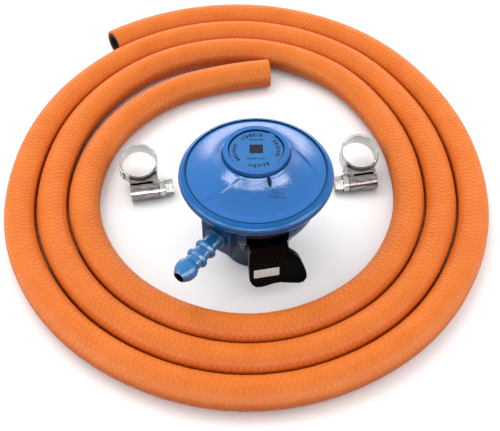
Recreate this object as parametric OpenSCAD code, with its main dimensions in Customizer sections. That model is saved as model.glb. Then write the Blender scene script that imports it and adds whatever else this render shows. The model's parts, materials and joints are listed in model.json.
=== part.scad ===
// Low-pressure gas regulator with its loose rubber hose and two worm-drive hose clips.
// Millimetres, +Z up. The origin is on the regulator's axis, at the mouth of its valve socket,
// and the floor is z = 0. The outlet side and the switch lever face -Y.

/* [Regulator] */
// Outside diameter of the rolled rim
rim_d = 69; // [67:0.5:72]
// Height of the rim's centre line above the socket mouth
rim_z = 47; // [46:0.5:48]
// Diameter of the cylinder valve that the socket takes
valve_d = 21; // [20.8:0.1:21.2]
// Diameter of the raised boss on the cover
boss_d = 29; // [28:0.5:30]
// Height of the boss above the socket mouth
boss_z = 63; // [62.5:0.5:64]
// Direction of the outlet nozzle, anticlockwise from +X
outlet_turn = 235; // [230:1:240]
// Direction of the switch lever, anticlockwise from -Y
lever_turn = 11; // [8:1:14]

/* [Outlet nozzle] */
// Distance from the regulator's axis to the nozzle's mouth
outlet_reach = 57; // [55:0.5:60]
// Diameter over the barbs
barb_d = 10; // [9.5:0.1:10.5]
// Diameter between the barbs
tail_d = 7.6; // [7:0.1:8]
// Gas bore through the nozzle
outlet_bore_d = 4.4; // [3:0.2:5]

/* [Switch lever] */
// Width of the lever over its two cheeks
lever_top_w = 17.2; // [17:0.1:17.4]
// How far its lower corner reaches to the right of the cheeks' middle
lever_reach = 17.3; // [16.5:0.1:18]
// Thickness of the lever's plate
lever_t = 2.4; // [2:0.1:2.8]

/* [Hose] */
// Outside diameter of the hose
hose_d = 15; // [14.5:0.1:15.1]
// Radial step from one turn to the next
hose_pitch = 15.6; // [15.6:0.1:16]

/* [Hose clips] */
// Inside diameter of the band as it lies
clip_d = 17.4; // [17:0.2:19]
// Width of the band
band_w = 9; // [8:0.5:9]
// Thickness of the band
band_t = 0.7; // [0.6:0.1:0.8]
// Lean of the clip, which rests on its heavy worm housing
clip_lean = 20; // [18:1:22]
// Swing of both clips about the vertical
clip_yaw = 10; // [0:1:15]

/* [Hidden] */
$fn = 64;

eps = 0.1;
fit_gap = 0.05;

// Socket, from the mouth upwards
socket_r = valve_d / 2 + 0.15;
socket_tube_r = 12.4;
socket_depth = 17;
seal_r = 9;
seal_z = 19.5;
skirt_r = 16;
skirt_z = 12;
skirt_wall_r = 14.8;
collar_r = 14.6;
collar_low_z = 4;
collar_top_z = 12;
collar_pocket_z = 15;
ball_r = 1.4;
ball_z = 6;
ball_turns = [90, 210, 330];

// Push pin, its spring, its seal and the slide that drives it
pin_r = 2;
pin_low_z = 17.3;
pin_head_r = 3.1;
pin_head_z = 24;
pin_top_z = 28.4;
pin_slope_z = 25.5;
oring_z = 20.2;
oring_wire_r = 0.6;
spring_floor_z = 21;
spring_pocket_r = 3.5;
cone_low_r = 3.2;
cone_high_r = 2.35;
cone_wire_r = 0.2;
cone_turns = 2.2;
slide_low_z = 25.6;
slide_top_z = 28.6;
slide_w = 7.6;
slide_end_y = -20.2;

// Diaphragm chamber
bowl_r = 28;
chamber_r = 16.5;
chamber_floor_z = 30.4;
chamber_step_z = 38;
ledge_r = 25;
ledge_z = 45.6;
clamp_r = 32.3;
rim_tube_r = 3.4;
rim_r = rim_d / 2;
flange_z = 47.9;
flange_top_z = 49.6;
lip_r = 31.7;
lip_top_z = 50.3;
diaphragm_z = 45.8;
diaphragm_t = 1.2;
plate_z = 47;
plate_r = 18;
stem_r = 2;
yoke_r = 3.6;

// Valve rocker and its jet
rocker_pin_x = -5;
rocker_pin_z = 35.4;
rocker_pin_r = 1;
jet_x = -12;
jet_top_z = 32.6;
pad_z = 33.35;
rocker_low_z = 34.6;
rocker_top_z = 36.2;

// Boss of the cover
boss_r = boss_d / 2;
screw_r = 11;
screw_low_z = 57.2;
screw_top_z = 60.2;
cap_seat_r = 12.2;
cap_low_z = 60.4;
cap_top_z = 62.1;
main_coil_r = 7.6;
main_wire_r = 0.9;
main_turns = 4.5;

// Outlet nozzle
outlet_z = 33;
outlet_face = 30.4;
outlet_block_w = 15.4;
barb_places = [outlet_reach - 18.8, outlet_reach - 12.8];

// Switch lever, in the frame that faces -Y
lever_pin_y = -24.5;
lever_pin_z = 27;
lever_pin_r = 1.5;
ear_r = 2.6;
ear_in = 4.6;
ear_out = 5.7;
pocket_y = -20.5;
pocket_half = 9.5;
cheek_t = 2.7;
cam_reach = 4.8;
cam_lean = 20;
cam_r = 1.2;

// Hose route: centre of the coil, and the outermost turn's radius every 30 degrees from +X
hose_r = hose_d / 2;
coil_centre = [-2, 43];
outline_radii = [113, 111, 116, 121, 123, 123, 125, 132, 138, 140, 133, 122];
outline_step = 30;
route_start = 129;
route_turning = 1127;
ring_step = 18;
hose_sides = 12;
// The last stretch swings in from the coil and comes back to it at its end
swing_start = 1010;
swing_peak = 1095;
swing_in = 8;

// Hose clips
band_r = clip_d / 2;
band_out_r = band_r + band_t;
housing_half = 7;
housing_at = 1.3;
barrel_y = -(band_out_r + 5);
barrel_r = 4.7;
cheek_half = 6.1;
worm_r = 3.55;
tail_turn = -172;
tail_span = 26;
left_clip_at = [-58.3, 42];
right_clip_at = [52, 48.6];

// ---------- helpers ----------

// A straight pipe of outer radius ro and bore ri from z0 to z1
module pipe(ro, ri, z0, z1) {
    translate([0, 0, z0])
        difference() {
            cylinder(r = ro, h = z1 - z0);
            translate([0, 0, -eps]) cylinder(r = ri, h = z1 - z0 + 2 * eps);
        }
}

// A cylinder along X from x0 to x1
module rod_x(r, x0, x1) {
    translate([x0, 0, 0]) rotate([0, 90, 0]) cylinder(r = r, h = x1 - x0);
}

// A coil spring on the Z axis, of round wire, whose mean radius goes from low_r to high_r
module coil_spring(low_r, high_r, wire_r, z0, z1, turns) {
    steps = 18;
    sides = 8;
    count = ceil(steps * turns);
    rise = z1 - z0 - 2 * wire_r;
    rings = [for (i = [0:count])
        let (a = 360 * turns * i / count, z = z0 + wire_r + rise * i / count)
        [for (j = [0:sides - 1])
            let (b = 360 * j / sides,
                r = low_r + (high_r - low_r) * i / count + wire_r * cos(b))
            [r * cos(a), r * sin(a), z + wire_r * sin(b)]]];
    tube_mesh(rings);
}

// A closed tube through rings of points that all have the same count
module tube_mesh(rings) {
    n = len(rings[0]);
    last = len(rings) - 1;
    points = [for (ring = rings, p = ring) p];
    sides = [for (i = [0:last - 1], j = [0:n - 1])
        let (k = (j + 1) % n)
        [i * n + j, i * n + k, (i + 1) * n + k, (i + 1) * n + j]];
    first_cap = [for (j = [n - 1:-1:0]) j];
    last_cap = [for (j = [0:n - 1]) last * n + j];
    polyhedron(points, concat(sides, [first_cap, last_cap]), convexity = 10);
}

// ---------- regulator ----------

// Section of the cast body: socket tube, floor, bowl and rolled rim
module body_section() {
    difference() {
        union() {
            polygon([[0, 0], [socket_tube_r, 0], [socket_tube_r, collar_pocket_z],
                [skirt_wall_r, collar_pocket_z], [skirt_wall_r, skirt_z], [17, skirt_z],
                [19.5, 17], [23, 22], [26.2, 28], [27.6, 31], [bowl_r, 34], [bowl_r, 42],
                [29.2, 43.4], [rim_r - rim_tube_r, 43.8], [rim_r - rim_tube_r, lip_top_z],
                [0, lip_top_z]]);
            translate([rim_r - rim_tube_r, rim_z]) circle(r = rim_tube_r);
        }
        translate([0, chamber_floor_z]) square([chamber_r, 30]);
        translate([0, chamber_step_z]) square([ledge_r, 30]);
        translate([0, ledge_z]) square([clamp_r, flange_top_z - ledge_z]);
        translate([0, ledge_z]) square([lip_r, 30]);
    }
}

// Square boss that carries the outlet nozzle
module outlet_block() {
    rotate([0, 0, outlet_turn])
        translate([chamber_r + 1, -outlet_block_w / 2, 25])
            cube([outlet_face - chamber_r - 1, outlet_block_w, 17.5]);
}

// Two ears that hold the lever's pin
module lever_ears() {
    for (side = [-1, 1])
        translate([side * (ear_in + ear_out) / 2, 0, 0])
            rotate([90, 0, 90])
                linear_extrude(ear_out - ear_in, center = true) {
                    translate([lever_pin_y, lever_pin_z]) circle(r = ear_r);
                    translate([lever_pin_y, lever_pin_z - ear_r])
                        square([-lever_pin_y - 18, 2 * ear_r]);
                }
}

// Two lugs on the chamber floor that hold the rocker's pin
module rocker_lugs() {
    for (side = [-1, 1])
        translate([rocker_pin_x, side * 3.6, chamber_floor_z - eps])
            rotate([90, 0, 0])
                linear_extrude(2, center = true) {
                    translate([0, rocker_pin_z - chamber_floor_z + eps]) circle(r = 2.2);
                    translate([-2.2, 0]) square([4.4, rocker_pin_z - chamber_floor_z + eps]);
                }
}

module lower_body() {
    color("steelblue")
        difference() {
            union() {
                rotate_extrude() body_section();
                difference() {
                    outlet_block();
                    translate([0, 0, chamber_step_z]) cylinder(r = ledge_r, h = 10);
                }
                rotate([0, 0, lever_turn]) lever_ears();
                rocker_lugs();
            }
            // Valve socket, seal seat and the passage of the push pin
            translate([0, 0, -eps]) cylinder(r = socket_r, h = socket_depth + eps);
            cylinder(r = seal_r, h = seal_z);
            cylinder(r = pin_r + fit_gap, h = slide_low_z);
            translate([0, 0, oring_z - oring_wire_r]) cylinder(r = 3.2, h = 2 * oring_wire_r);
            translate([0, 0, spring_floor_z])
                cylinder(r = spring_pocket_r, h = slide_top_z + 0.2 - spring_floor_z);
            // Gas way from the seal seat to the jet
            translate([-3.2, 0, 19.4]) rotate([0, -55, 0]) cylinder(r = 0.8, h = 12);
            translate([jet_x, 0, 25]) cylinder(r = 2.6, h = 10);
            // Holes of the locking balls
            for (turn = ball_turns)
                rotate([0, 0, turn]) translate([0, 0, ball_z]) rod_x(ball_r + fit_gap, 9, 13);
            // Pocket, cam space and slide tunnel behind the switch lever
            rotate([0, 0, lever_turn]) {
                difference() {
                    translate([-pocket_half, -40, skirt_z - eps])
                        cube([2 * pocket_half, 40 + pocket_y, 24]);
                    lever_ears();
                }
                translate([-4.2, pocket_y - 1, 23.6]) cube([8.4, 3.4, 11]);
                translate([-slide_w / 2 - 0.2, pocket_y - 1, slide_low_z - 0.2])
                    cube([slide_w + 0.4, 27.2, slide_top_z - slide_low_z + 0.4]);
                translate([0, lever_pin_y, lever_pin_z]) rod_x(lever_pin_r, -12, 12);
            }
            // Gas way out and the seat of the nozzle
            rotate([0, 0, outlet_turn]) translate([0, 0, outlet_z]) {
                rod_x(outlet_bore_d / 2, 12, 30);
                rod_x(4.6, 22, 40);
            }
            translate([rocker_pin_x, 0, rocker_pin_z])
                rotate([90, 0, 0]) cylinder(r = rocker_pin_r, h = 12, center = true);
        }
}

// Ring that closes the underside around the socket tube
module socket_skirt() {
    color("steelblue")
        rotate_extrude()
            polygon([[12.8, 0], [skirt_r - 0.6, 0], [skirt_r, 0.6], [skirt_r + 0.3, 6],
                [17, skirt_z], [skirt_wall_r, skirt_z], [skirt_wall_r, 0.8], [12.8, 0.8]]);
}

// Section of the cover: clamped flange, dished dome and hollow boss
module cover_section() {
    polygon([[lip_r - 0.1, flange_top_z], [30.7, 49.9], [28, 50.8], [24.5, 52.3],
        [21.2, 54.1], [18.6, 56.2], [16.9, 58.3], [15.6, 60.2], [boss_r + 0.3, 60.7], [boss_r, 61.2],
        [boss_r, boss_z - 0.5], [boss_r - 0.5, boss_z], [cap_seat_r, boss_z],
        [cap_seat_r, cap_low_z], [screw_r, cap_low_z], [screw_r, screw_low_z - 0.6],
        [13, 55.6], [16.4, 54.6], [19.4, 52.6], [23, 50.6], [26, 49.2], [27.6, flange_z],
        [clamp_r, flange_z], [clamp_r, flange_top_z]]);
}

module cover() {
    color("steelblue")
        difference() {
            rotate_extrude() cover_section();
            rotate([0, 0, -72]) translate([15.6, 0, 57])
                rotate([0, 50, 0]) cylinder(r = 0.9, h = 8, center = true);
        }
}

// Snap-in disc that closes the boss, with a flat tab notch
module top_cap() {
    color("steelblue")
        difference() {
            translate([0, 0, cap_low_z]) cylinder(r = cap_seat_r - 0.1, h = cap_top_z - cap_low_z);
            rotate([0, 0, 58]) translate([cap_seat_r - 1, -1, cap_top_z - 0.8]) cube([2, 2, 2]);
        }
}

module adjusting_screw() {
    color("goldenrod")
        difference() {
            translate([0, 0, screw_low_z])
                cylinder(r = screw_r - fit_gap, h = screw_top_z - screw_low_z);
            translate([0, 0, screw_top_z - 2]) cylinder(r = 4, h = 3, $fn = 6);
        }
}

module main_spring() {
    color("silver")
        coil_spring(main_coil_r, main_coil_r, main_wire_r, plate_z + 1, screw_low_z, main_turns);
}

module diaphragm() {
    color("dimgray")
        rotate_extrude()
            polygon([[stem_r + 0.05, diaphragm_z], [19, diaphragm_z], [21, 44.9], [23, 44.9],
                [24.8, ledge_z], [clamp_r, ledge_z], [clamp_r, flange_z], [28, flange_z],
                [26.6, diaphragm_z + diaphragm_t], [24.4, 46.9], [22.6, 46.2], [21.4, 46.2],
                [19.6, diaphragm_z + diaphragm_t], [stem_r + 0.05, diaphragm_z + diaphragm_t]]);
}

module diaphragm_plate() {
    color("silver")
        rotate_extrude()
            polygon([[stem_r + fit_gap, plate_z], [plate_r, plate_z], [plate_r + 0.6, 48.4],
                [plate_r - 0.4, 48.4], [plate_r - 0.8, plate_z + 1],
                [stem_r + fit_gap, plate_z + 1]]);
}

// Stem that ties the diaphragm to the rocker through a slotted yoke
module diaphragm_stem() {
    color("silver")
        difference() {
            union() {
                translate([0, 0, 32.6]) cylinder(r = yoke_r, h = 5.8);
                translate([0, 0, 38]) cylinder(r = stem_r, h = 12.4);
                translate([0, 0, 44.4]) cylinder(r = 7, h = diaphragm_z - 44.4);
            }
            translate([-5, -2.4, 33.7]) cube([6.6, 4.8, 3.4]);
        }
}

module stem_nut() {
    color("silver")
        difference() {
            translate([0, 0, plate_z + 1]) cylinder(r = 4, h = 2, $fn = 6);
            translate([0, 0, plate_z]) cylinder(r = stem_r, h = 4);
        }
}

module valve_rocker() {
    color("silver")
        difference() {
            union() {
                translate([-15, -2, rocker_low_z]) cube([15.8, 4, rocker_top_z - rocker_low_z]);
                translate([jet_x, 0, 33.6]) cylinder(r = 3.2, h = 2);
                translate([rocker_pin_x, 0, rocker_pin_z])
                    rotate([90, 0, 0]) cylinder(r = 1.55, h = 4.6, center = true);
            }
            translate([jet_x, 0, 33]) cylinder(r = 2.4, h = 1.6);
            translate([rocker_pin_x, 0, rocker_pin_z])
                rotate([90, 0, 0])
                    cylinder(r = rocker_pin_r + fit_gap, h = 6, center = true);
        }
}

module rocker_pin() {
    color("silver")
        translate([rocker_pin_x, 0, rocker_pin_z])
            rotate([90, 0, 0]) cylinder(r = rocker_pin_r, h = 9.2, center = true);
}

module valve_pad() {
    color("dimgray")
        translate([jet_x, 0, pad_z]) cylinder(r = 2.4, h = rocker_low_z - pad_z);
}

module inlet_jet() {
    color("goldenrod")
        translate([jet_x, 0, 0])
            rotate_extrude()
                polygon([[0.6, 26.6], [2.6, 26.6], [2.6, chamber_floor_z],
                    [3.4, chamber_floor_z], [3.4, 31.2], [1.7, 31.4], [1.2, jet_top_z],
                    [0.6, jet_top_z]]);
}

module inlet_seal() {
    color("dimgray") pipe(seal_r, 4, socket_depth, seal_z);
}

module push_pin() {
    color("goldenrod")
        difference() {
            union() {
                translate([0, 0, pin_low_z + 0.5]) cylinder(r = pin_r, h = pin_top_z - pin_low_z - 0.5);
                translate([0, 0, pin_low_z]) cylinder(r1 = pin_r - 0.5, r2 = pin_r, h = 0.5);
                translate([0, 0, pin_head_z]) cylinder(r = pin_head_r, h = pin_top_z - pin_head_z);
            }
            // Sloping face that the slide's wedge runs down
            rotate([0, 0, lever_turn]) translate([-5, 0, pin_slope_z])
                rotate([45, 0, 0]) translate([0, -10, 0]) cube([10, 20, 10]);
        }
}

// Conical spring, whose turns nest inside each other as the pin goes down
module push_pin_spring() {
    color("silver")
        coil_spring(cone_low_r, cone_high_r, cone_wire_r, spring_floor_z, pin_head_z, cone_turns);
}

module push_pin_seal() {
    color("dimgray")
        rotate_extrude() translate([pin_r + oring_wire_r, oring_z]) circle(r = oring_wire_r);
}

// Slide between the lever's cam and the push pin, with a 45 degree wedge
module actuating_slide() {
    color("silver")
        rotate([0, 0, lever_turn])
            rotate([90, 0, 90])
                linear_extrude(slide_w, center = true)
                    polygon([[slide_end_y, slide_low_z], [slide_end_y, slide_top_z],
                        [2.8, slide_top_z], [-0.2, slide_low_z]]);
}

// Collar around the socket tube that holds the balls in when it moves down
module locking_collar() {
    color("silver")
        rotate_extrude()
            polygon([[12.6, collar_low_z], [collar_r, collar_low_z], [collar_r, collar_top_z],
                [12.6, collar_top_z], [12.6, 9.5], [13.7, 6.5], [13.7, 4.5], [12.6, 4.3]]);
}

module locking_ball(turn) {
    color("silver")
        rotate([0, 0, turn])
            translate([socket_r + eps + ball_r, 0, ball_z]) sphere(r = ball_r, $fn = 32);
}

module locking_ball_1() { locking_ball(ball_turns[0]); }
module locking_ball_2() { locking_ball(ball_turns[1]); }
module locking_ball_3() { locking_ball(ball_turns[2]); }

// Outline of the nozzle, along its own axis
module nozzle_section() {
    neck = tail_d / 2;
    barb = barb_d / 2;
    bulb_at = outlet_reach - 8.6;
    difference() {
        union() {
            translate([0, 24]) square([4.6, outlet_face - 24]);
            translate([0, outlet_face]) square([5.2, 1.2]);
            translate([0, 24]) square([neck, outlet_reach - 26]);
            for (place = barb_places)
                translate([0, place])
                    polygon([[0, -0.5], [barb, -0.5], [barb, 0.5], [barb - 0.9, 1.5], [0, 1.5]]);
            polygon([[0, bulb_at], [neck, bulb_at], [barb - 0.5, bulb_at + 1], [barb, bulb_at + 2.4],
                [barb, bulb_at + 4], [barb - 0.4, bulb_at + 5.8], [barb - 1.5, bulb_at + 7.6],
                [barb - 2.3, outlet_reach], [0, outlet_reach]]);
        }
        translate([0, 20]) square([outlet_bore_d / 2, 50]);
    }
}

module outlet_nozzle() {
    color("steelblue")
        rotate([0, 0, outlet_turn])
            translate([0, 0, outlet_z]) rotate([0, 90, 0]) rotate_extrude() nozzle_section();
}

// Front view of the lever's plate, x to the right and y up
module lever_front() {
    polygon([[-8.1, 31.5], [-8.9, 28], [-9.1, 22], [-8.9, 12], [-8, 9], [-6.2, 7.3], [-3.6, 6.9],
        [-0.8, 7.3], [2, 7.9], [5.2, 7.9], [8.8, 7], [lever_reach - 3.7, 5.9],
        [lever_reach - 1.4, 6.3], [lever_reach, 8.4], [lever_reach - 0.1, 11.4],
        [lever_reach - 2.1, 17.8], [13.4, 22.4], [11, 25.6], [9.4, 27], [9, 28.5], [8.3, 31.5]]);
}

// Side view of the plate: nearly upright, kicked out at its foot
module lever_side() {
    polygon([[-29.6, 32], [-30.4, 26], [-30.7, 18], [-31, 12], [-31.8, 8.4], [-33, 4],
        [-33 + lever_t, 4], [-31.8 + lever_t, 8.4], [-31 + lever_t, 12], [-30.7 + lever_t, 18],
        [-30.4 + lever_t, 26], [-29.4 + lever_t, 32]]);
}

module switch_lever() {
    color("#1b1b1d")
        rotate([0, 0, lever_turn])
            difference() {
                union() {
                    intersection() {
                        rotate([90, 0, 90]) linear_extrude(40, center = true) lever_side();
                        translate([0, -20, 0]) rotate([90, 0, 0]) linear_extrude(20) lever_front();
                    }
                    // Cheeks on the outer sides of the ears
                    for (side = [-1, 1])
                        translate([side * (lever_top_w - cheek_t) / 2, 0, 0])
                            rotate([90, 0, 90])
                                linear_extrude(cheek_t, center = true) {
                                    translate([lever_pin_y, lever_pin_z]) circle(r = 3.4);
                                    polygon([[-28.6, 31], [-24.5, 30.4], [-21.6, 25.4], [-26.4, 19],
                                        [-26.4, 14], [-29.4, 8.6]]);
                                }
                    translate([0, lever_pin_y, lever_pin_z]) rod_x(3.4, 0.2 - ear_in, ear_in - 0.2);
                    translate([0.2 - ear_in, -28.6, 24])
                        cube([2 * ear_in - 0.4, 28.6 + lever_pin_y, 6]);
                    // Cam lobe
                    translate([0, lever_pin_y, lever_pin_z]) rotate([-cam_lean, 0, 0]) {
                        translate([-3.6, -cam_r, 0]) cube([7.2, 2 * cam_r, cam_reach]);
                        translate([0, 0, cam_reach]) rod_x(cam_r, -3.6, 3.6);
                    }
                }
                translate([0, lever_pin_y, lever_pin_z]) rod_x(lever_pin_r + fit_gap, -12, 12);
            }
}

module lever_pin() {
    color("silver")
        rotate([0, 0, lever_turn])
            translate([0, lever_pin_y, lever_pin_z]) rod_x(lever_pin_r, 0.2 - lever_top_w / 2, lever_top_w / 2 - 0.2);
}

// ---------- hose clips ----------

// Puts a clip, drawn about its ring's centre, in the place where it lies
module lay_clip(at) {
    drop = barrel_r + -barrel_y * sin(clip_lean);
    translate([at[0], at[1], drop]) rotate([0, 0, clip_yaw]) rotate([clip_lean, 0, 0]) children();
}

module clip_band() {
    pipe(band_out_r, band_r, -band_w / 2, band_w / 2);
    // Free end of the band, lying over the first layer
    intersection() {
        pipe(band_out_r + 0.05 + band_t, band_out_r - 0.05, -band_w / 2, band_w / 2);
        rotate([0, 0, tail_turn]) translate([0, 0, -band_w])
            linear_extrude(2 * band_w)
                polygon([[0, 0], [30, 0], [30 * cos(tail_span), 30 * sin(tail_span)]]);
    }
}

module clip_housing() {
    saddle_out = band_out_r + 0.9;
    tail_end = housing_at - housing_half;
    head_end = housing_at + housing_half;
    difference() {
        union() {
            // Saddle that follows the band
            intersection() {
                pipe(saddle_out, band_out_r, -cheek_half, cheek_half);
                translate([tail_end, -saddle_out - 1, -cheek_half])
                    cube([2 * housing_half, saddle_out - 4, 2 * cheek_half]);
            }
            difference() {
                union() {
                    translate([tail_end, barrel_y, -4.4])
                        cube([2 * housing_half, -barrel_y - band_out_r + 2.4, 8.8]);
                    translate([0, barrel_y, 0]) rod_x(barrel_r, tail_end, head_end);
                }
                cylinder(r = band_out_r, h = 40, center = true);
            }
        }
        translate([0, barrel_y, 0]) rod_x(worm_r + 0.1, tail_end - 1, head_end + 1);
        // Slit that the band's free end comes out of
        translate([tail_end - 1, -band_out_r - 3.7, 1.6]) cube([2 * housing_half - 1.6, 1.2, 8]);
    }
}

// Worm screw with a collar and a slotted hexagon head
module clip_screw() {
    root_r = worm_r - 0.8;
    head_end = housing_at + housing_half;
    difference() {
        translate([0, barrel_y, 0]) {
            rod_x(root_r, housing_at - housing_half + 0.4, head_end + 0.4);
            for (x = [-5.9:1.8:5.9])
                translate([housing_at + x, 0, 0]) rotate([0, 90, 0])
                    rotate_extrude()
                        polygon([[0, -0.65], [root_r, -0.65], [worm_r, -0.2], [worm_r, 0.2],
                            [root_r, 0.65], [0, 0.65]]);
            rod_x(4.4, head_end + 0.3, head_end + 2.9);
            translate([head_end + 2.9, 0, 0])
                rotate([0, 90, 0]) cylinder(r = 4, h = 4.2, $fn = 6);
        }
        translate([head_end + 5.3, barrel_y - 6, -0.6]) cube([4, 12, 1.2]);
    }
}

module left_clip_band() { color("silver") lay_clip(left_clip_at) clip_band(); }
module left_clip_housing() { color("lightgray") lay_clip(left_clip_at) clip_housing(); }
module left_clip_screw() { color("gainsboro") lay_clip(left_clip_at) clip_screw(); }
module right_clip_band() {
    color("silver") lay_clip(right_clip_at) mirror([1, 0, 0]) clip_band();
}
module right_clip_housing() {
    color("lightgray") lay_clip(right_clip_at) mirror([1, 0, 0]) clip_housing();
}
module right_clip_screw() {
    color("gainsboro") lay_clip(right_clip_at) mirror([1, 0, 0]) clip_screw();
}

// ---------- hose ----------

function wrap(k) = let (n = len(outline_radii)) ((k % n) + n) % n;

// Radius of the outermost turn at angle a: a smooth closed curve through outline_radii
function outline_at(a) =
    let (k = floor(a / outline_step), f = a / outline_step - k,
        p0 = outline_radii[wrap(k - 1)], p1 = outline_radii[wrap(k)],
        p2 = outline_radii[wrap(k + 1)], p3 = outline_radii[wrap(k + 2)])
    p1 + f / 2 * (p2 - p0 + f * (2 * p0 - 5 * p1 + 4 * p2 - p3 + f * (3 * (p1 - p2) + p3 - p0)));

function ease(f) = let (g = min(1, max(0, f))) g * g * (3 - 2 * g);

// How far the route lies inside the regular turns after turning through t degrees
function swing_at(t) = t < swing_peak
    ? swing_in * ease((t - swing_start) / (swing_peak - swing_start))
    : swing_in * (1 - pow((t - swing_peak) / (route_turning - swing_peak), 2));

function route_at(t) =
    let (a = route_start - t, r = outline_at(a) - hose_pitch * t / 360 - swing_at(t))
    [coil_centre[0] + r * cos(a), coil_centre[1] + r * sin(a)];

function ring_at(t) =
    let (c = route_at(t), d = route_at(t + 1) - route_at(t - 1), h = d / norm(d))
    [for (j = [0:hose_sides - 1])
        let (b = 360 * j / hose_sides)
        [c[0] - h[1] * hose_r * cos(b), c[1] + h[0] * hose_r * cos(b), hose_r + hose_r * sin(b)]];

module hose() {
    stations = concat([for (t = [0:ring_step:route_turning - ring_step / 2]) t], [route_turning]);
    color("darkorange") tube_mesh([for (t = stations) ring_at(t)]);
}

lower_body();
socket_skirt();
cover();
top_cap();
adjusting_screw();
main_spring();
diaphragm();
diaphragm_plate();
diaphragm_stem();
stem_nut();
valve_rocker();
rocker_pin();
valve_pad();
inlet_jet();
inlet_seal();
push_pin();
push_pin_spring();
push_pin_seal();
actuating_slide();
locking_collar();
locking_ball_1();
locking_ball_2();
locking_ball_3();
outlet_nozzle();
switch_lever();
lever_pin();
left_clip_band();
left_clip_housing();
left_clip_screw();
right_clip_band();
right_clip_housing();
right_clip_screw();
hose();
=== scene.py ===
"""Looks of the gas regulator, its loose hose and its two hose clips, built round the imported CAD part.

Sizes are in millimetres until MM turns them into metres; materials, lights and the camera use metres.
"""
import json
import math
import random

import bmesh
import bpy
from mathutils import Matrix, Vector


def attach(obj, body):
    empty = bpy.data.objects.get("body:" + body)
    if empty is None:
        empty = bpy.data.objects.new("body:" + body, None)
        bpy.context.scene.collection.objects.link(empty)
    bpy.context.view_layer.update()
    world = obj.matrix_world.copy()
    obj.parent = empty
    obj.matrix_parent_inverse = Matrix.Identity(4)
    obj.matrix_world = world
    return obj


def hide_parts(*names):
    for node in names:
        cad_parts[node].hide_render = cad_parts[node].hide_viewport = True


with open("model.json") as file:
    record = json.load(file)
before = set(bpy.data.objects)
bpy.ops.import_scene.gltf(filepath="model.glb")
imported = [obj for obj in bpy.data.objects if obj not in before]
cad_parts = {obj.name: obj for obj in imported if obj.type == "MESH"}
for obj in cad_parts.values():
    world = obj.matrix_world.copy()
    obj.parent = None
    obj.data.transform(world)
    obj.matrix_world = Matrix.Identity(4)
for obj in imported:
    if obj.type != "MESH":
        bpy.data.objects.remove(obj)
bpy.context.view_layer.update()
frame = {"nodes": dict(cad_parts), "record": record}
nodes = frame["nodes"]
MM = 0.001
rng = random.Random(7)

# ---------- camera ----------

CAMERA_AT = (-0.0027, -0.2940, 0.3596)
CAMERA_TARGET = (-0.0027, 0.0164, 0.0)
lens = bpy.data.cameras.new("camera")
lens.lens = 69.75
lens.sensor_width = 36.0
lens.clip_start = 0.01
lens.clip_end = 50.0
camera = bpy.data.objects.new("camera", lens)
bpy.context.scene.collection.objects.link(camera)
camera.location = CAMERA_AT
look = Vector(CAMERA_TARGET) - Vector(CAMERA_AT)
camera.rotation_mode = "QUATERNION"
camera.rotation_quaternion = look.to_track_quat("-Z", "Y")
bpy.context.scene.camera = camera

# ---------- materials ----------


def new_material(name, color, metallic=0.0, rough=0.4, specular=0.5):
    """A Principled material whose constant values sit on the shader's own sockets."""
    mat = bpy.data.materials.new(name)
    mat.use_nodes = True
    shader = mat.node_tree.nodes["Principled BSDF"]
    shader.inputs["Base Color"].default_value = (*color, 1)
    shader.inputs["Metallic"].default_value = metallic
    shader.inputs["Roughness"].default_value = rough
    shader.inputs["IOR"].default_value = 1.5
    shader.inputs["Specular IOR Level"].default_value = specular
    return mat, shader


def node(mat, kind, **values):
    """Adds a node and sets its inputs and properties by name."""
    made = mat.node_tree.nodes.new(kind)
    for key, value in values.items():
        name = key.replace("_", " ")
        if name in made.inputs:
            made.inputs[name].default_value = value
        else:
            setattr(made, key, value)
    return made


def link(mat, a, b):
    mat.node_tree.links.new(a, b)


def object_coords(mat, scale=(1, 1, 1)):
    """The object's own coordinates, stretched."""
    coords = node(mat, "ShaderNodeTexCoord")
    mapping = node(mat, "ShaderNodeMapping", Scale=scale)
    link(mat, coords.outputs["Object"], mapping.inputs["Vector"])
    return mapping.outputs["Vector"]


def noise(mat, vector, scale, detail=3.0, rough=0.5):
    made = node(mat, "ShaderNodeTexNoise", Scale=scale, Detail=detail, Roughness=rough)
    link(mat, vector, made.inputs["Vector"])
    return made.outputs["Fac"]


def ramp(mat, fac, low, high, at_low=0.3, at_high=0.7):
    """Turns a grey value into a blend of two colours, or of two grey values."""
    made = mat.node_tree.nodes.new("ShaderNodeValToRGB")
    for stop, value, place in zip(made.color_ramp.elements, (low, high), (at_low, at_high)):
        stop.position = place
        stop.color = (*value, 1) if isinstance(value, tuple) else (value, value, value, 1)
    link(mat, fac, made.inputs["Fac"])
    return made.outputs["Color"]


def bump(mat, shader, height, distance, strength=1.0, under=None):
    made = node(mat, "ShaderNodeBump", Strength=strength, Distance=distance)
    link(mat, height, made.inputs["Height"])
    if under is not None:
        link(mat, under, made.inputs["Normal"])
    link(mat, made.outputs["Normal"], shader.inputs["Normal"])
    return made.outputs["Normal"]


def multiplied(mat, first, second):
    """The product of two colours."""
    made = node(mat, "ShaderNodeMix", data_type="RGBA", blend_type="MULTIPLY")
    made.inputs["Factor"].default_value = 1.0
    link(mat, first, made.inputs["A"])
    link(mat, second, made.inputs["B"])
    return made.outputs["Result"]


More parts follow.
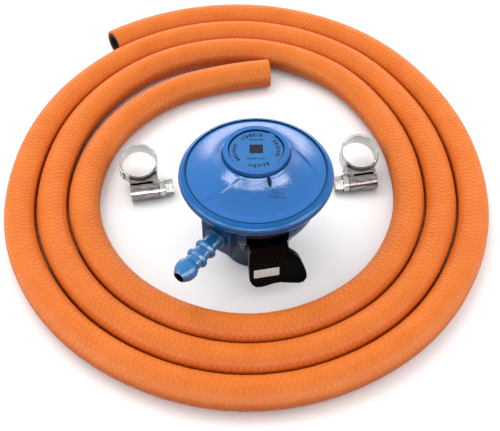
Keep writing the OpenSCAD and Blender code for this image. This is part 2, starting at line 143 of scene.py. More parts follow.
def enamel(name, color, shade, low=0.62, shade_reach=0.016, specular=0.5):
    """Glossy enamel on die-cast zinc: orange peel and uneven depth, with painted shade in corners and on
    faces that point sideways and down.
    """
    mat, shader = new_material(name, color, rough=0.16, specular=specular)
    where = object_coords(mat)
    tone = ramp(mat, noise(mat, where, 70, 4), shade, color)
    # Painted shade: the colour darkens on faces that point sideways and down
    coords = node(mat, "ShaderNodeTexCoord")
    facing = node(mat, "ShaderNodeSeparateXYZ")
    link(mat, coords.outputs["Normal"], facing.inputs["Vector"])
    tone = multiplied(mat, tone, ramp(mat, facing.outputs["Z"], low, 1.0, 0.0, 0.5))
    # Painted shade in corners and recesses, from ambient occlusion
    corners = node(mat, "ShaderNodeAmbientOcclusion", Distance=shade_reach)
    tone = multiplied(mat, tone, ramp(mat, corners.outputs["AO"], 0.15, 1.0, 0.2, 0.85))
    link(mat, tone, shader.inputs["Base Color"])
    link(mat, ramp(mat, noise(mat, where, 420, 3), 0.12, 0.22), shader.inputs["Roughness"])
    peel = bump(mat, shader, noise(mat, where, 620, 2), 0.00022, 0.5)
    bump(mat, shader, noise(mat, where, 1700, 2), 0.00013, 0.75, under=peel)
    return mat


def paint_bore_shade(mat, turn, height, radius):
    """Paints shade inside a horizontal bore that runs out from the Z axis in direction turn, as near-black
    colour.
    """
    shader = mat.node_tree.nodes["Principled BSDF"]
    coords = node(mat, "ShaderNodeTexCoord")
    turned = node(mat, "ShaderNodeVectorRotate", rotation_type="Z_AXIS", Angle=-turn)
    link(mat, coords.outputs["Object"], turned.inputs["Vector"])
    split = node(mat, "ShaderNodeSeparateXYZ")
    link(mat, turned.outputs["Vector"], split.inputs["Vector"])
    lift = node(mat, "ShaderNodeMath", operation="SUBTRACT")
    link(mat, split.outputs["Z"], lift.inputs[0])
    lift.inputs[1].default_value = height
    off = node(mat, "ShaderNodeCombineXYZ")
    link(mat, split.outputs["Y"], off.inputs["X"])
    link(mat, lift.outputs["Value"], off.inputs["Y"])
    length = node(mat, "ShaderNodeVectorMath", operation="LENGTH")
    link(mat, off.outputs["Vector"], length.inputs[0])
    inside = node(mat, "ShaderNodeMath", operation="LESS_THAN")
    link(mat, length.outputs["Value"], inside.inputs[0])
    inside.inputs[1].default_value = radius
    # Painted shade: near-black inside the bore's radius
    mixed = node(mat, "ShaderNodeMix", data_type="RGBA")
    link(mat, inside.outputs["Value"], mixed.inputs["Factor"])
    link(mat, shader.inputs["Base Color"].links[0].from_socket, mixed.inputs["A"])
    mixed.inputs["B"].default_value = (0.006, 0.007, 0.010, 1)
    link(mat, mixed.outputs["Result"], shader.inputs["Base Color"])
    return mat


LEVER_ANGLE = math.radians(11)
# Half width, nearest face and ceiling of the recess that holds the lever's ears
POCKET_HALF, POCKET_FRONT, POCKET_TOP = 0.0093, -0.0205, 0.0437


def shade_pocket(mat):
    """Darkens the recess that holds the lever's hinge ears."""
    shader = mat.node_tree.nodes["Principled BSDF"]
    coords = node(mat, "ShaderNodeTexCoord")
    turned = node(mat, "ShaderNodeVectorRotate", rotation_type="Z_AXIS", Angle=-LEVER_ANGLE)
    link(mat, coords.outputs["Object"], turned.inputs["Vector"])
    split = node(mat, "ShaderNodeSeparateXYZ")
    link(mat, turned.outputs["Vector"], split.inputs["Vector"])
    across = node(mat, "ShaderNodeMath", operation="ABSOLUTE")
    link(mat, split.outputs["X"], across.inputs[0])
    inside = None
    limits = (
        (across.outputs["Value"], POCKET_HALF),
        (split.outputs["Y"], POCKET_FRONT),
        (split.outputs["Z"], POCKET_TOP),
    )
    for source, limit in limits:
        below = node(mat, "ShaderNodeMath", operation="LESS_THAN")
        link(mat, source, below.inputs[0])
        below.inputs[1].default_value = limit
        if inside is None:
            inside = below.outputs["Value"]
            continue
        both = node(mat, "ShaderNodeMath", operation="MULTIPLY")
        link(mat, inside, both.inputs[0])
        link(mat, below.outputs["Value"], both.inputs[1])
        inside = both.outputs["Value"]
    mixed = node(mat, "ShaderNodeMix", data_type="RGBA")
    link(mat, inside, mixed.inputs["Factor"])
    link(mat, shader.inputs["Base Color"].links[0].from_socket, mixed.inputs["A"])
    mixed.inputs["B"].default_value = (0.003, 0.008, 0.02, 1)
    link(mat, mixed.outputs["Result"], shader.inputs["Base Color"])
    return mat


def metal(name, color, dark, rough, stretch=(1, 1, 1), fine=1500, tint=0.25):
    """Plated or rolled metal with fine drawing lines, uneven polish and painted shade in its corners."""
    mat, shader = new_material(name, color, metallic=1.0, rough=rough)
    where = object_coords(mat, stretch)
    tone = ramp(mat, noise(mat, where, 260, 4), dark, color, tint, 0.75)
    # Painted shade in corners and between parts, from ambient occlusion
    corners = node(mat, "ShaderNodeAmbientOcclusion", Distance=0.0035)
    tone = multiplied(mat, tone, ramp(mat, corners.outputs["AO"], 0.08, 1.0, 0.25, 0.85))
    link(mat, tone, shader.inputs["Base Color"])
    link(mat, ramp(mat, noise(mat, where, fine, 4), rough * 0.7, rough * 1.5), shader.inputs["Roughness"])
    bump(mat, shader, noise(mat, where, fine, 5), 0.00004, 0.4)
    return mat


def moulded(name, color, light, rough=0.22, specular=0.5):
    """Gloss moulded plastic with faint flow marks and fine scuffs."""
    mat, shader = new_material(name, color, rough=rough, specular=specular)
    where = object_coords(mat)
    link(mat, ramp(mat, noise(mat, where, 160, 5), color, light, 0.45, 0.8), shader.inputs["Base Color"])
    link(mat, ramp(mat, noise(mat, where, 900, 5), rough * 0.7, rough * 1.5), shader.inputs["Roughness"])
    bump(mat, shader, noise(mat, where, 380, 3), 0.00008, 0.35)
    return mat


def soft_rubber(name, color, light, specular=0.5):
    mat, shader = new_material(name, color, rough=0.65, specular=specular)
    where = object_coords(mat)
    link(mat, ramp(mat, noise(mat, where, 500, 5), color, light), shader.inputs["Base Color"])
    link(mat, ramp(mat, noise(mat, where, 1400, 4), 0.5, 0.8), shader.inputs["Roughness"])
    bump(mat, shader, noise(mat, where, 2200, 4), 0.00005, 0.5)
    return mat


def hose_rubber(name):
    """Orange cover with the fine cross pattern that its curing wrap leaves, with painted shade on faces
    that point down and between the turns.
    """
    mat, shader = new_material(name, (0.72, 0.19, 0.035), rough=0.5, specular=0.16)
    uv = node(mat, "ShaderNodeUVMap", uv_map="along_around")
    wrap = []
    for turn in (0.42, -0.42):
        turned = node(mat, "ShaderNodeMapping", Rotation=(0, 0, turn), Scale=(1, 1, 1))
        link(mat, uv.outputs["UV"], turned.inputs["Vector"])
        lines = node(mat, "ShaderNodeTexWave", Scale=1.0, Distortion=2.0, Detail=2.0)
        link(mat, turned.outputs["Vector"], lines.inputs["Vector"])
        wrap.append(lines.outputs["Fac"])
    cross = node(mat, "ShaderNodeMath", operation="MULTIPLY")
    link(mat, wrap[0], cross.inputs[0])
    link(mat, wrap[1], cross.inputs[1])
    where = object_coords(mat)
    tone = ramp(mat, noise(mat, where, 60, 5, 0.6), (0.73, 0.168, 0.018), (0.80, 0.205, 0.030), 0.3, 0.72)
    speck = ramp(mat, noise(mat, where, 700, 4, 0.7), 0.9, 1.0, 0.35, 0.6)
    mixed = node(mat, "ShaderNodeMix", data_type="RGBA", blend_type="MULTIPLY")
    mixed.inputs["Factor"].default_value = 0.75
    link(mat, tone, mixed.inputs["A"])
    link(mat, speck, mixed.inputs["B"])
    white = (1.0, 1.0, 1.0)
    threads = ramp(mat, cross.outputs["Value"], (0.93, 0.90, 0.88), white, 0.0, 0.7)
    woven = multiplied(mat, mixed.outputs["Result"], threads)
    # Painted shade: faces that point sideways and down are darkened
    facing = node(mat, "ShaderNodeSeparateXYZ")
    link(mat, node(mat, "ShaderNodeTexCoord").outputs["Normal"], facing.inputs["Vector"])
    lower = ramp(mat, facing.outputs["Z"], (0.62, 0.50, 0.45), white, 0.0, 0.45)
    shaded = multiplied(mat, woven, lower)
    # Painted shade where the turns crowd each other and meet the floor, from ambient occlusion
    corners = node(mat, "ShaderNodeAmbientOcclusion", Distance=0.010)
    painted_shade_between_turns = ramp(mat, corners.outputs["AO"], (0.42, 0.30, 0.27), white, 0.05, 0.38)
    shaded = multiplied(mat, shaded, painted_shade_between_turns)
    link(mat, shaded, shader.inputs["Base Color"])
    link(mat, ramp(mat, noise(mat, where, 900, 4), 0.42, 0.62), shader.inputs["Roughness"])
    first = bump(mat, shader, cross.outputs["Value"], 0.0003, 0.6)
    bump(mat, shader, noise(mat, where, 1100, 5), 0.00007, 0.45, under=first)
    return mat


BLUE = (0.005, 0.142, 0.47)
NOZZLE_TURN = math.radians(235)
NOZZLE_HEIGHT = 0.033
NOZZLE_BORE = 0.0024
paint = {
    "cover_paint": enamel("cover_enamel", BLUE, (0.004, 0.126, 0.42)),
    "cap_paint": enamel("cap_enamel", (0.014, 0.155, 0.43), (0.011, 0.138, 0.39)),
    # The body's enamel is a darker copy of the cover's blue with stronger darkening low down and in
    # corners, all painted shade; its hinge recess gets painted shade too
    "body_paint": shade_pocket(
        enamel("body_enamel", (0.006, 0.128, 0.41), (0.005, 0.105, 0.34), 0.46, 0.04, 0.2),
    ),
    # The nozzle's enamel is a paler copy of the same blue, painted light, with painted shade inside its
    # bore
    "nozzle_paint": paint_bore_shade(
        enamel("nozzle_enamel", (0.020, 0.185, 0.46), (0.016, 0.16, 0.41)),
        NOZZLE_TURN, NOZZLE_HEIGHT, NOZZLE_BORE,
    ),
    "lever_plastic": moulded(
        "lever_gloss_black", (0.0022, 0.0022, 0.0025), (0.005, 0.005, 0.0055), 0.26, 0.03,
    ),
    "hose_rubber": hose_rubber("hose_orange"),
    "black_rubber": soft_rubber("nitrile", (0.018, 0.018, 0.019), (0.04, 0.04, 0.04)),
    "brass": metal("turned_brass", (0.80, 0.58, 0.26), (0.62, 0.42, 0.17), 0.24),
    "spring_steel": metal("spring_wire", (0.55, 0.56, 0.58), (0.36, 0.36, 0.38), 0.28),
    "zinc_steel": metal("zinc_plate", (0.70, 0.70, 0.71), (0.50, 0.50, 0.52), 0.26),
    "clip_band_steel": metal("rolled_strip", (0.60, 0.61, 0.58), (0.36, 0.37, 0.35), 0.2, (1, 1, 6)),
    "clip_housing_steel": metal(
        "pressed_steel", (0.42, 0.38, 0.37), (0.14, 0.12, 0.12), 0.16, (0.5, 4, 4), tint=0.35,
    ),
    "clip_screw_steel": metal("plated_screw", (0.60, 0.60, 0.57), (0.34, 0.34, 0.32), 0.16),
}
ink, ink_shader = new_material("print_ink", (0.008, 0.010, 0.016), rough=0.45, specular=0.12)
ink_tone = ramp(ink, noise(ink, object_coords(ink), 1500, 3), (0.006, 0.008, 0.014), (0.02, 0.03, 0.05))
link(ink, ink_tone, ink_shader.inputs["Base Color"])
label_white = moulded("label_white", (0.88, 0.89, 0.86), (0.95, 0.95, 0.93), 0.3)
# Near-black paint for the breather hole and the line beside the rim: painted shade in the hole and a
# painted shadow along the rim
recess = moulded("recess_painted_shade", (0.004, 0.007, 0.014), (0.008, 0.012, 0.022), 0.6, 0.1)
lining = soft_rubber("hose_lining", (0.005, 0.005, 0.005), (0.014, 0.014, 0.014), 0.12)

# ---------- mesh helpers ----------


def make_object(name, points, faces, materials, body, replaced=(), smooth=True, kinds=None):
    """A new piece from points in millimetres, riding on a body."""
    mesh = bpy.data.meshes.new(name)
    mesh.from_pydata([tuple(c * MM for c in p) for p in points], [], faces)
    mesh.validate()
    for mat in materials:
        mesh.materials.append(mat)
    for i, face in enumerate(mesh.polygons):
        face.use_smooth = smooth
        if kinds:
            face.material_index = kinds[i]
    made = bpy.data.objects.new(name, mesh)
    bpy.context.scene.collection.objects.link(made)
    outward(made)
    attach(made, body)
    if replaced:
        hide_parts(*replaced)
    return made


def outward(obj):
    """Turns every face of a closed mesh outwards."""
    work = bmesh.new()
    work.from_mesh(obj.data)
    bmesh.ops.recalc_face_normals(work, faces=work.faces)
    work.to_mesh(obj.data)
    work.free()


def sharpen(obj, degrees=35):
    """Smooth shading except across edges sharper than this."""
    work = bmesh.new()
    work.from_mesh(obj.data)
    limit = math.radians(degrees)
    for edge in work.edges:
        edge.smooth = len(edge.link_faces) == 2 and edge.calc_face_angle(0) < limit
    for face in work.faces:
        face.smooth = True
    work.to_mesh(obj.data)
    work.free()


def fillet(points, radius, steps=4):
    """Rounds the corners of a closed outline; radius may be one number or one for each corner."""
    made = []
    n = len(points)
    for i in range(n):
        before, here, after = (Vector(points[k]) for k in ((i - 1) % n, i, (i + 1) % n))
        size = radius[i] if isinstance(radius, (list, tuple)) else radius
        a, b = before - here, after - here
        if size <= 0 or a.length < 1e-6 or b.length < 1e-6:
            made.append(tuple(here))
            continue
        angle = a.angle(b)
        if angle > math.radians(172):
            made.append(tuple(here))
            continue
        cut = min(size / math.tan(angle / 2), 0.45 * a.length, 0.45 * b.length)
        start, end = here + a.normalized() * cut, here + b.normalized() * cut
        for s in range(steps + 1):
            f = s / steps
            made.append(tuple((1 - f) ** 2 * start + 2 * f * (1 - f) * here + f * f * end))
    return made


def lathe(outline, segments, shift=None):
    """Points and faces of a closed outline of (r, z) turned about Z. shift(r, z, azimuth) moves a point."""
    n = len(outline)
    points, faces = [], []
    for s in range(segments):
        a = 2 * math.pi * s / segments
        for r, z in outline:
            if shift:
                r, z = shift(r, z, math.degrees(a))
            points.append((r * math.cos(a), r * math.sin(a), z))
    for s in range(segments):
        t = (s + 1) % segments
        for k in range(n):
            m = (k + 1) % n
            faces.append((s * n + k, t * n + k, t * n + m, s * n + m))
    return points, faces


def smooth_step(f):
    g = min(1.0, max(0.0, f))
    return g * g * (3 - 2 * g)


# ---------- hose ----------

HOSE_R = 7.5
COIL_CENTRE = (-2.0, 43.0)
OUTLINE_RADII = (113, 111, 116, 121, 123, 123, 125, 132, 138, 140, 133, 122)
OUTLINE_STEP = 30
HOSE_PITCH = 15.6
ROUTE_START = 129
ROUTE_TURNING = 1127
SWING_START, SWING_PEAK, SWING_IN = 1010, 1095, 8
HOSE_SIDES = 36
LINING_R = 6.1
BORE_R = 4.0
BORE_DEPTH = 26


def outline_at(a):
    """Radius of the outermost turn, as part.scad has it."""
    k = math.floor(a / OUTLINE_STEP)
    f = a / OUTLINE_STEP - k
    p0, p1, p2, p3 = (OUTLINE_RADII[(k + i) % len(OUTLINE_RADII)] for i in (-1, 0, 1, 2))
    return p1 + f / 2 * (p2 - p0 + f * (2 * p0 - 5 * p1 + 4 * p2 - p3 + f * (3 * (p1 - p2) + p3 - p0)))


def swing_at(t):
    if t < SWING_PEAK:
        return SWING_IN * smooth_step((t - SWING_START) / (SWING_PEAK - SWING_START))
    return SWING_IN * (1 - ((t - SWING_PEAK) / (ROUTE_TURNING - SWING_PEAK)) ** 2)


def route_at(t):
    a = math.radians(ROUTE_START - t)
    r = outline_at(ROUTE_START - t) - HOSE_PITCH * t / 360 - swing_at(t)
    return Vector((COIL_CENTRE[0] + r * math.cos(a), COIL_CENTRE[1] + r * math.sin(a), HOSE_R))


def build_hose():
    step = 3.5
    count = round(ROUTE_TURNING / step)
    stations = [ROUTE_TURNING * i / count for i in range(count + 1)]
    centres = [route_at(t) for t in stations]
    length = [0.0]
    for a, b in zip(centres, centres[1:]):
        length.append(length[-1] + (b - a).length)
    points, faces, kinds, along = [], [], [], []

    def ring(centre, ahead, radius, distance):
        side = Vector((-ahead.y, ahead.x, 0))
        for j in range(HOSE_SIDES):
            b = 2 * math.pi * j / HOSE_SIDES
            p = centre + radius * (math.cos(b) * side + math.sin(b) * Vector((0, 0, 1)))
            points.append(tuple(p))
            along.append(distance)
        return len(points) - HOSE_SIDES

    def join(a, b, kind):
        for j in range(HOSE_SIDES):
            k = (j + 1) % HOSE_SIDES
            faces.append((a + j, a + k, b + k, b + j))
            kinds.append(kind)

    def heading(i):
        a, b = centres[max(0, i - 1)], centres[min(count, i + 1)]
        return (b - a).normalized()

    first, last = heading(0), heading(count)
    rings = []
    # Outer end: bore floor, bore, lining face, cover face and the rounded edge
    for back, radius, kind in (
        (BORE_DEPTH, 0.05, 1), (BORE_DEPTH, BORE_R, 1), (0.35, BORE_R, 1),
        (0.0, BORE_R + 0.3, 1), (0.0, LINING_R, 1),
        (0.0, LINING_R + 0.05, 0), (0.0, HOSE_R - 0.5, 0), (0.15, HOSE_R - 0.15, 0), (0.5, HOSE_R, 0),
    ):
        rings.append((centres[0] + first * back, first, radius, back, kind))
    for i in range(1, count):
        rings.append((centres[i], heading(i), HOSE_R, length[i], 0))
    for back, radius, kind in (
        (0.5, HOSE_R, 0), (0.15, HOSE_R - 0.15, 0), (0.0, HOSE_R - 0.5, 0), (0.0, LINING_R + 0.05, 0),
        (0.0, LINING_R, 0), (0.0, BORE_R + 0.3, 1),
        (0.35, BORE_R, 1), (BORE_DEPTH, BORE_R, 1), (BORE_DEPTH, 0.05, 1),
    ):
        rings.append((centres[-1] - last * back, last, radius, length[-1] - back, kind))
    starts = [ring(*r[:4]) for r in rings]
    for i in range(len(starts) - 1):
        join(starts[i], starts[i + 1], rings[i + 1][4])
    faces.append(tuple(starts[0] + j for j in range(HOSE_SIDES)))
    kinds.append(1)
    faces.append(tuple(starts[-1] + j for j in reversed(range(HOSE_SIDES))))
    kinds.append(1)
    made = make_object(
        "hose_tube", points, faces, [paint["hose_rubber"], lining], "hose", ["hose"],
        kinds=kinds,
    )
    uv = made.data.uv_layers.new(name="along_around")
    for face in made.data.polygons:
        around = [made.data.loops[i].vertex_index % HOSE_SIDES for i in face.loop_indices]
        wraps = max(around) - min(around) > HOSE_SIDES / 2
        for i, j in zip(face.loop_indices, around):
            v = j + (HOSE_SIDES if wraps and j < HOSE_SIDES / 2 else 0)
            u = along[made.data.loops[i].vertex_index]
            uv.data[i].uv = (u / HOSE_R, v * 2 * math.pi / HOSE_SIDES)
    sharpen(made, 50)


build_hose()

# ---------- cover ----------

# Edges of the slightly lower front sector, as (radius, azimuth)
LEFT_CREASE = (
    (15.0, -116), (16.0, -118), (17.0, -122), (19.0, -127), (22.6, -133), (26.0, -137.5), (30.0, -141),
)
RIGHT_CREASE = (
    (15.0, 10), (16.3, 15), (18.0, 18.5), (19.5, 18), (21.0, 12), (23.2, 3), (26.0, -6), (30.0, -15),
)
CREASE_DEPTH = 0.75
CREASE_WIDTH = 0.9
# Section of the dome from the rim up to the boss, as (radius, height)
DOME = (
    (31.55, 49.62), (31.15, 49.7), (30.65, 49.93), (28, 50.8), (24.5, 52.3), (21.2, 54.1),
    (18.6, 56.2), (16.9, 58.3), (15.7, 59.9), (15.1, 60.35),
)
# Radii of the painted shadow line beside the rim: its outer edge, and its inner edge in front and behind
SEAM_OUT, SEAM_IN_FRONT, SEAM_IN_BACK = 31.15, 30.8, 30.95
HOLE_AT = (15.9, -70)
HOLE_R = 0.85
HOLE_LONG = 2.1


def along_crease(crease, r):
    for (r0, a0), (r1, a1) in zip(crease, crease[1:]):
        if r <= r1:
            return a0 + (a1 - a0) * max(0.0, (r - r0) / (r1 - r0))
    return crease[-1][1]


def cover_shift(r, z, azimuth):
    """Lowers the front sector and dents the breather hole, on the cover's upper side only."""
    if z < 49.9 or r < 14.95 or r > 30.6:
        return r, z
    if azimuth > 180:
        azimuth -= 360
    per_degree = math.radians(1) * r
    left = (azimuth - along_crease(LEFT_CREASE, r)) * per_degree
    right = (along_crease(RIGHT_CREASE, r) - azimuth) * per_degree
    right_width = CREASE_WIDTH * (0.8 + max(0.0, r - 22.8) ** 1.5 * 0.8)
    inside = smooth_step(left / CREASE_WIDTH + 0.5) * smooth_step(right / right_width + 0.5)
    fade = smooth_step((30.4 - r) / 3.5) * smooth_step((r - 14.9) / 1.2)
    drop = CREASE_DEPTH * inside * fade
    off = math.hypot((azimuth - HOLE_AT[1]) * per_degree, (r - HOLE_AT[0]) / HOLE_LONG)
    drop += 1.5 * smooth_step((HOLE_R - off) / 0.45)
    return r, z - drop


def curve_through(points, per=6):
    """A smooth open run through points."""
    made = []
    for i in range(len(points) - 1):
        p0, p1, p2, p3 = (Vector(points[min(len(points) - 1, max(0, i + k))]) for k in (-1, 0, 1, 2))
        for s in range(per):
            f = s / per
            bend = 2 * p0 - 5 * p1 + 4 * p2 - p3 + f * (3 * (p1 - p2) + p3 - p0)
            made.append(tuple(p1 + f / 2 * (p2 - p0 + f * bend)))
    made.append(tuple(points[-1]))
    return made


def build_cover():
    dome = curve_through(DOME, 7)
    boss_corners = [
        (14.85, 60.1), (14.5, 60.1), (14.5, 63.0), (12.2, 63.0),
        (12.2, 60.45), (11.0, 60.45), (11.0, 56.7), (13, 55.6),
    ]
    boss = fillet(boss_corners, [0, 0, 0.5, 0.25, 0, 0, 0, 0], 5)
    under = [
        (16.4, 54.6), (19.4, 52.6), (23, 50.6), (26, 49.2),
        (27.6, 47.95), (32.2, 47.95), (32.2, 49.55), (31.55, 49.5),
    ]
    outline = dome + boss + under
    points, faces = lathe(outline, 360, cover_shift)
    kinds = []
    for face in faces:
        x, y, z = (sum(points[i][k] for i in face) / len(face) for k in range(3))
        r = math.hypot(x, y)
        across = (math.degrees(math.atan2(y, x)) - HOLE_AT[1]) * math.radians(1) * r
        # The breather hole and the thin line beside the rim take the near-black recess paint: painted shade
        # in the hole, a painted shadow along the rim
        in_hole = z > 54 and math.hypot(across, (r - HOLE_AT[0]) / HOLE_LONG) < HOLE_R - 0.2
        in_seam = (SEAM_IN_FRONT if y < 6 else SEAM_IN_BACK) < r < SEAM_OUT and z > 49.6
        kinds.append(1 if in_hole or in_seam else 0)
    made = make_object(
        "cover_shell", points, faces, [paint["cover_paint"], recess], "regulator", ["cover"],
        kinds=kinds,
    )
    sharpen(made, 48)


def dome_z(r):
    for (r0, z0), (r1, z1) in zip(DOME, DOME[1:]):
        if r >= r1:
            return z0 + (z1 - z0) * (r - r0) / (r1 - r0)
    return DOME[-1][1]


build_cover()

TAB = (44, 62)


def cap_shift(r, z, azimuth):
    """Raises the tab at the cap's edge."""
    inside = smooth_step((azimuth - TAB[0]) / 2) * smooth_step((TAB[1] - azimuth) / 2)
    if z > 61 and r > 10.5:
        z += 0.75 * inside * smooth_step((r - 10.5) / 0.7)
    return r, z


def build_cap():
    top = [
        (11.9, 60.45), (11.9, 61.85), (11.75, 62.05), (11.5, 62.1), (10.9, 62.1),
        (10.4, 62.1), (9.0, 62.1), (5.0, 62.12), (0.01, 62.12), (0.01, 60.45),
    ]
    points, faces = lathe(top, 240, cap_shift)
    made = make_object(
        "cap_disc", points, faces, [paint["cap_paint"]], "regulator", ["top_cap"],
    )
    sharpen(made, 40)


build_cap()


# ---------- printed marks and moulded marks on the cover ----------


def box_points(x0, x1, y0, y1, z0, z1):
    return [(x, y, z) for z in (z0, z1) for y in (y0, y1) for x in (x0, x1)]


BOX_FACES = [(0, 2, 3, 1), (4, 5, 7, 6), (0, 1, 5, 4), (2, 6, 7, 3), (0, 4, 6, 2), (1, 3, 7, 5)]


def add_box(points, faces, corners, matrix):
    start = len(points)
    points += [tuple(matrix @ Vector(p)) for p in corners]
    faces += [tuple(start + i for i in f) for f in BOX_FACES]


def build_print():
    """Plain strokes round the cap and a plain block at its middle, in place of any wording."""
    points, faces = [], []
    ink_low, ink_high = 62.09, 62.155

    def arc_strokes(radius, start, end, tall, gap):
        a = start
        while a < end:
            wide = rng.choice((0.5, 0.75, 0.95, 1.15))
            step = math.degrees(wide / radius)
            turned = Matrix.Rotation(math.radians(a + step / 2), 4, "Z")
            low = -tall / 2
            high = tall / 2 * rng.choice((1.0, 1.0, 0.65))
            half = wide * 0.36
            bar = box_points(radius + low, radius + high, -half, half, ink_low, ink_high)
            add_box(points, faces, bar, turned)
            if rng.random() < 0.6:
                half = wide * 0.5
                foot = box_points(radius - 0.12, radius + 0.14, -half, half, ink_low, ink_high)
                add_box(points, faces, foot, turned)
            a += step + math.degrees(gap / radius)

    arc_strokes(9.3, 74, 130, 2.0, 0.5)
    arc_strokes(9.6, 158, 214, 1.5, 0.45)
    arc_strokes(9.4, 250, 304, 1.7, 0.5)
    arc_strokes(9.6, -24, 36, 1.7, 0.5)
    for row, (half, tall) in enumerate(((3.1, 0.8), (3.9, 0.7))):
        x = -half
        y = (6.3, -5.1)[row]
        while x < half:
            wide = rng.choice((0.35, 0.5, 0.65))
            stroke = box_points(x, x + wide, y - tall / 2, y + tall / 2, ink_low, ink_high)
            add_box(points, faces, stroke, Matrix.Identity(4))
            x += wide + 0.3
    # Plain block at the middle
    add_box(points, faces, box_points(-2.9, 2.9, -1.9, 3.3, ink_low, ink_high), Matrix.Identity(4))
    make_object("cap_print", points, faces, [ink], "regulator", smooth=False)


build_print()


def build_plaque():
    """Three plain raised rules, cast into the cover's front sector."""
    points, faces = [], []
    radius, turn = 19.6, -62
    seat_z = dome_z(radius) - CREASE_DEPTH + 0.05
    seat = (
        Matrix.Rotation(math.radians(turn), 4, "Z") @ Matrix.Translation((radius, 0, seat_z))
        @ Matrix.Rotation(math.radians(37), 4, "Y") @ Matrix.Rotation(math.radians(-turn), 4, "Z")
    )
    add_box(points, faces, box_points(-3.4, 3.6, -2.3, -1.95, -0.8, 0.3), seat)
    add_box(points, faces, box_points(-3.2, 3.0, 1.9, 2.2, -0.8, 0.3), seat)
    add_box(points, faces, box_points(-2.6, 2.2, -0.35, 0.45, -0.8, 0.3), seat)
    made = make_object(
        "cover_plaque", points, faces, [paint["cover_paint"]], "regulator", smooth=False,
    )
    rounded(made, 0.08, 2, 40)


def rounded(obj, width, segments=2, degrees=35):
    """Small rounded edges, kept as a modifier."""
    mod = obj.modifiers.new("edges", "BEVEL")
    mod.width = width * MM
    mod.segments = segments
    mod.limit_method = "ANGLE"
    mod.angle_limit = math.radians(degrees)
    mod.use_clamp_overlap = True
    mod.harden_normals = False


build_plaque()

# ---------- switch lever ----------

LEVER_TURN = Matrix.Rotation(LEVER_ANGLE, 4, "Z")
LEVER_SIDE = ((4.0, -33.0), (8.4, -31.8), (12.0, -31.0), (18.0, -30.7), (26.0, -30.4), (32.0, -29.6))


def lever_face_y(z):
    """Y of the lever plate's outer face at height z, in the lever's own frame."""
    for (z0, y0), (z1, y1) in zip(LEVER_SIDE, LEVER_SIDE[1:]):
        if z <= z1:
            return y0 + (y1 - y0) * (z - z0) / (z1 - z0)
    return LEVER_SIDE[-1][1]


def plate_on_lever(name, outline, material, proud=0.18, inset=-0.3):
    """A thin plate with the outline (x, z), lying on the lever's outer face."""
    points, faces = [], []
    n = len(outline)
    for depth in (inset, proud - 0.05, proud):
        shrink = 0.97 if depth == proud else 1.0
        cx = sum(p[0] for p in outline) / n
        cz = sum(p[1] for p in outline) / n
        for x, z in outline:
            px, pz = cx + (x - cx) * shrink, cz + (z - cz) * shrink
            points.append(tuple(LEVER_TURN @ Vector((px, lever_face_y(pz) - depth, pz))))
    for layer in range(2):
        for k in range(n):
            m = (k + 1) % n
            faces.append((layer * n + k, layer * n + m, (layer + 1) * n + m, (layer + 1) * n + k))
    faces.append(tuple(range(n - 1, -1, -1)))
    faces.append(tuple(range(2 * n, 3 * n)))
    made = make_object(name, points, faces, [material], "switch_lever", smooth=False)
    sharpen(made, 30)
    return made


# A blank label, in place of the mark in the photo
LABEL = [(-7.0, 17.8), (4.6, 17.8), (4.6, 12.6), (-7.0, 12.6)]
plate_on_lever("lever_label", fillet(LABEL, 0.4, 4), label_white)

# ---------- hose clips ----------

CLIP_LEAN = math.radians(20)
CLIP_YAW = math.radians(10)
BAND_R, BAND_T = 8.7, 0.7
BARREL_Y, BARREL_R = -14.4, 4.7
CLIPS = {"left": ((-58.3, 42.0), 1), "right": ((52.0, 48.6), -1)}


def clip_matrix(side):
    (x, y), hand = CLIPS[side]
    drop = BARREL_R - BARREL_Y * math.sin(CLIP_LEAN)
    return (
        Matrix.Translation((x, y, drop)) @ Matrix.Rotation(CLIP_YAW, 4, "Z")
        @ Matrix.Rotation(CLIP_LEAN, 4, "X") @ Matrix.Diagonal((hand, 1, 1, 1))
    )


def build_band(side):
    """The strip as one ring with rolled edges and pressed worm slots, and its free end over it."""
    placed = clip_matrix(side)
    points, faces = [], []
    half = [(1.0, 0.0), (2.8, 0.0), (3.0, 0.0), (4.2, 0.0), (4.42, 0.02), (4.5, 0.12)]
    across = [(-z, cut) for z, cut in reversed(half)] + half
    segments = 264

    def strip(base, thick, start, end, count, slots, close):
        first = len(points)
        for i in range(count + (0 if close else 1)):
            a = math.radians(start + (end - start) * i / count)
            ridge = 0.0
            if slots(math.degrees(a)):
                ridge = 0.2 * smooth_step(1.6 * math.sin(math.degrees(a) * 2 * math.pi / 11.6))
            loop = []
            for z, cut in across:
                loop.append((base + thick - cut - (ridge if abs(z) <= 2.8 else 0), z))
            for z, cut in reversed(across):
                loop.append((base + cut - (ridge * 0.8 if abs(z) <= 2.8 else 0), z))
            for r, z in loop:
                points.append(tuple(placed @ Vector((r * math.cos(a), r * math.sin(a), z))))
        n = 2 * len(across)
        rings = count if close else count + 1
        for i in range(rings if close else rings - 1):
            j = (i + 1) % rings
            for k in range(n):
                m = (k + 1) % n
                faces.append((first + i * n + k, first + j * n + k, first + j * n + m, first + i * n + m))
        if not close:
            faces.append(tuple(first + k for k in range(n)))
            faces.append(tuple(first + (rings - 1) * n + k for k in reversed(range(n))))

    strip(BAND_R, BAND_T, 0, 360, segments, lambda a: 150 < a < 236 or 0 < a < 60, True)
    strip(BAND_R + BAND_T + 0.03, BAND_T, -172, -146, 24, lambda a: True, False)
    made = make_object(
        f"{side}_band_strip", points, faces, [paint["clip_band_steel"]], f"{side}_clip",
        [f"{side}_clip_band"],
    )
    sharpen(made, 40)


for side in CLIPS:
    build_band(side)

# ---------- carried-over CAD nodes ----------

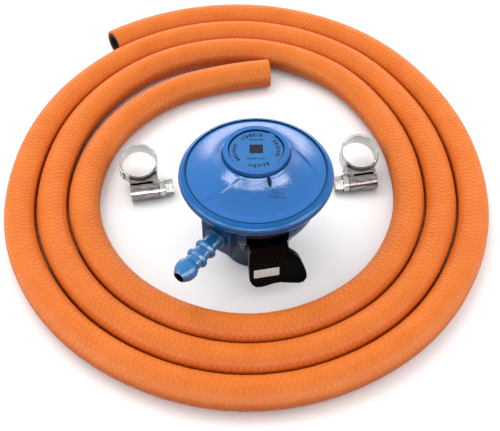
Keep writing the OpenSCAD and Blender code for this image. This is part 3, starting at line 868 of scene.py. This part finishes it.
EDGE_WIDTHS = {
    "lower_body": 0.3, "socket_skirt": 0.25, "outlet_nozzle": 0.06, "switch_lever": 0.4, "lever_pin": 0.1,
    "left_clip_housing": 0.2, "right_clip_housing": 0.2, "left_clip_screw": 0.12, "right_clip_screw": 0.12,
}
slots = {part["node"]: part["material_slot"] for part in frame["record"]["subparts"]}
for name, obj in nodes.items():
    obj.data.materials.clear()
    obj.data.materials.append(paint[slots[name]])
    for face in obj.data.polygons:
        face.use_smooth = True
    if name in EDGE_WIDTHS:
        weld = obj.modifiers.new("weld", "WELD")
        weld.merge_threshold = 0.000002
        flat = obj.modifiers.new("flat", "DECIMATE")
        flat.decimate_type = "DISSOLVE"
        flat.angle_limit = math.radians(0.6)
        rounded(obj, EDGE_WIDTHS[name], 3, 32)
        crisp = obj.modifiers.new("crisp", "WEIGHTED_NORMAL")
        crisp.weight = 80

# ---------- stage ----------


def build_floor():
    mat, shader = new_material("floor_white", (0.95, 0.95, 0.95), rough=0.75)
    where = object_coords(mat)
    tone = ramp(mat, noise(mat, where, 6, 3), (0.945, 0.945, 0.945), (0.955, 0.955, 0.955))
    link(mat, tone, shader.inputs["Base Color"])
    shader.inputs["Emission Color"].default_value = (1, 1, 1, 1)
    shader.inputs["Emission Strength"].default_value = 0.05
    mesh = bpy.data.meshes.new("floor")
    half = 8.0
    level = -0.0001
    corners = [(-half, -half, level), (half, -half, level), (half, half, level), (-half, half, level)]
    mesh.from_pydata(corners, [], [(0, 1, 2, 3)])
    mesh.materials.append(mat)
    floor = bpy.data.objects.new("floor", mesh)
    bpy.context.scene.collection.objects.link(floor)


def area_light(name, at, target, size, watts, color=(1, 1, 1), diffuse=True, gloss=True):
    data = bpy.data.lights.new(name, "AREA")
    data.shape = "RECTANGLE"
    data.size, data.size_y = size
    data.energy = watts
    data.color = color
    made = bpy.data.objects.new(name, data)
    bpy.context.scene.collection.objects.link(made)
    made.visible_diffuse = diffuse
    made.visible_glossy = gloss
    made.location = at
    made.rotation_mode = "QUATERNION"
    made.rotation_quaternion = (Vector(target) - Vector(at)).to_track_quat("-Z", "Y")


build_floor()


def build_world():
    """White studio surroundings that darken low down on the viewer's side."""
    world = bpy.data.worlds.new("studio")
    world.use_nodes = True
    tree = world.node_tree
    coords = tree.nodes.new("ShaderNodeTexCoord")
    height = tree.nodes.new("ShaderNodeVectorMath")
    height.operation = "DOT_PRODUCT"
    height.inputs[1].default_value = (0, 0.6, 0.8)
    fade = tree.nodes.new("ShaderNodeValToRGB")
    fade.color_ramp.elements[0].position = 0.18
    fade.color_ramp.elements[0].color = (0.05, 0.05, 0.055, 1)
    fade.color_ramp.elements[1].position = 0.58
    fade.color_ramp.elements[1].color = (1, 1, 1, 1)
    tree.links.new(coords.outputs["Generated"], height.inputs[0])
    shift = tree.nodes.new("ShaderNodeMath")
    shift.operation = "ADD"
    shift.inputs[1].default_value = 0.5
    tree.links.new(height.outputs["Value"], shift.inputs[0])
    tree.links.new(shift.outputs["Value"], fade.inputs["Fac"])
    tree.links.new(fade.outputs["Color"], tree.nodes["Background"].inputs["Color"])
    tree.nodes["Background"].inputs["Strength"].default_value = 1.02
    bpy.context.scene.world = world


build_world()
MIDDLE = (0.0, 0.03, 0.0)
area_light("key", (-0.45, 0.5, 1.3), MIDDLE, (1.0, 1.0), 7.5, gloss=False)
area_light("left", (-1.3, 0.0, 0.5), MIDDLE, (0.5, 0.7), 2.6, gloss=False)
area_light("right", (1.2, 0.2, 0.8), MIDDLE, (0.6, 0.6), 3.4, gloss=False)
for x, y in ((0.0, -0.95), (-0.86, -0.5), (0.86, -0.5)):
    area_light(f"front_{x:.0f}", (x, y, 0.34), MIDDLE, (0.9, 0.4), 13.0, diffuse=False)
area_light("back", (0.0, 1.6, 0.22), MIDDLE, (2.2, 0.36), 14.0, (1.0, 0.86, 0.92), diffuse=False)
bpy.context.scene.view_settings.view_transform = "Standard"
